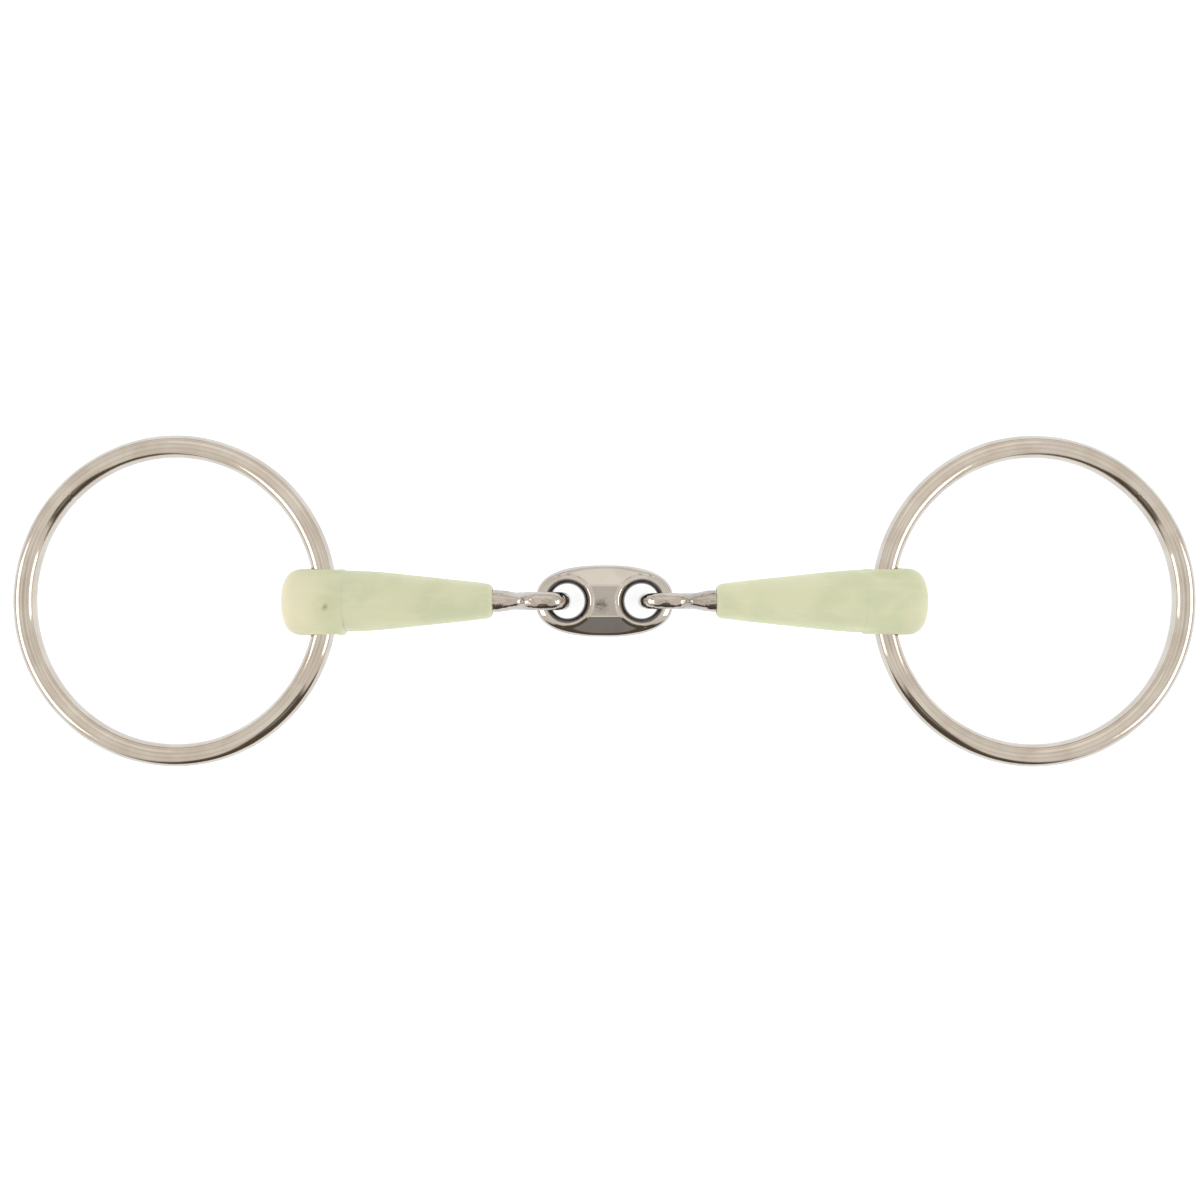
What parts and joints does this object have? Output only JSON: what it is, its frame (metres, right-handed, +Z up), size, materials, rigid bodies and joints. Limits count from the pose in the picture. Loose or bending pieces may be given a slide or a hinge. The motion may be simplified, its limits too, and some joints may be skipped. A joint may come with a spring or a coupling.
{
  "type": "snaffle bit",
  "caption": "Loose-ring, double-jointed snaffle bit: an oval centre link, tapered soft plastic mouthpiece covers and round-wire steel cheek rings.",
  "frame": {"origin": "on the surface the bit lies on, under the middle of the centre link", "axes": "+X along the mouthpiece towards the right ring, +Y along the ring holes, +Z up out of the flat bit"},
  "size_m": [0.2696, 0.075, 0.015],
  "materials": {
    "steel_link": "polished warm stainless steel",
    "steel_arm": "forged and polished warm stainless steel",
    "steel_ring": "polished drawn wire",
    "sleeve_plastic": "satin, slightly translucent pale apple green",
    "cap_plastic": "satin, slightly translucent pale apple green",
    "liner_plastic": "plain moulded"
  },
  "bodies": {
    "link": {"centre_link": "steel_link"},
    "left_arm": {"left_core": "steel_arm", "left_sleeve": "sleeve_plastic", "left_end_cap": "cap_plastic"},
    "left_liner": {"left_ring_bush": "liner_plastic"},
    "left_cheek": {"left_ring": "steel_ring"},
    "right_arm": {"right_core": "steel_arm", "right_sleeve": "sleeve_plastic", "right_end_cap": "cap_plastic"},
    "right_liner": {"right_ring_bush": "liner_plastic"},
    "right_cheek": {"right_ring": "steel_ring"}
  },
  "joints": [
    {"name": "left_fold", "type": "hinge", "parent": "link", "child": "left_arm", "pos_m": [-0.0139, 0, 0.00641], "axis": [0, 1, 0], "range_deg": [-135, 135]},
    {"name": "left_swivel", "type": "hinge", "parent": "left_arm", "child": "left_liner", "pos_m": [-0.06249, 0, 0.00749], "axis": [0, -1, 0], "range_deg": [-165, 165]},
    {"name": "left_ring_slide", "type": "hinge", "parent": "left_liner", "child": "left_cheek", "pos_m": [-0.09735, 0, 0.00502], "axis": [-0.0708, 0, 0.9975], "continuous": true},
    {"name": "right_fold", "type": "hinge", "parent": "link", "child": "right_arm", "pos_m": [0.0139, 0, 0.00641], "axis": [0, 1, 0], "range_deg": [-135, 135]},
    {"name": "right_swivel", "type": "hinge", "parent": "right_arm", "child": "right_liner", "pos_m": [0.06249, 0, 0.00749], "axis": [0, -1, 0], "range_deg": [-165, 165]},
    {"name": "right_ring_slide", "type": "hinge", "parent": "right_liner", "child": "right_cheek", "pos_m": [0.09735, 0, 0.00502], "axis": [0.0708, 0, 0.9975], "continuous": true}
  ]
}
